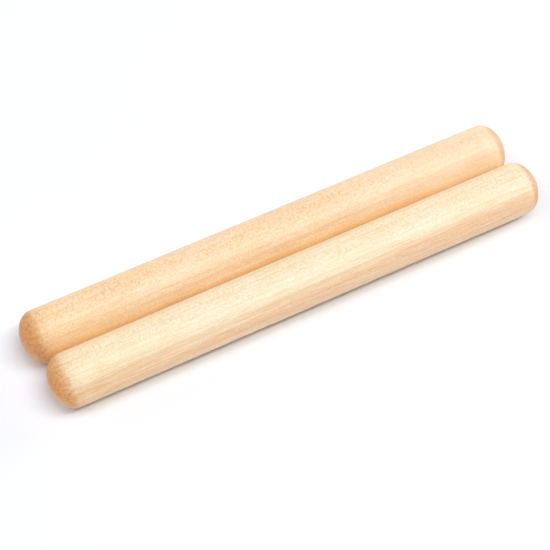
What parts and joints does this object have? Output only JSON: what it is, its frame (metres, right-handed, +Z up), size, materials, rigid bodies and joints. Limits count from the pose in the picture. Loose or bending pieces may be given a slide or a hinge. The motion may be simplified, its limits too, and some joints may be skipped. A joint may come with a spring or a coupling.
{
  "type": "claves",
  "caption": "Pair of plain round hardwood sticks with domed ends, tapped together by hand to give a short, high, clicking sound.",
  "frame": {"origin": "on the surface that the sticks rest on, below the middle of the pair", "axes": "+X along both sticks, towards the end where the striker clave reaches further; +Y from the striker clave to the struck clave; +Z up"},
  "size_m": [0.2022, 0.0418, 0.0207],
  "materials": {
    "warm_maple": "bare maple, fine sanded to a soft satin, slightly warmer of the two, with fine ray flecks and darker end grain",
    "pale_maple": "bare maple, fine sanded to a soft satin, slightly paler of the two, with fine ray flecks and darker end grain"
  },
  "bodies": {
    "struck_stick": {"struck_clave": "warm_maple"},
    "striker_stick": {"striker_clave": "pale_maple"}
  },
  "joints": [
    {"name": "striker_lift", "type": "slide", "parent": "struck_stick", "child": "striker_stick", "axis": [0, 0, 1], "range_m": [0, 0.06]}
  ]
}
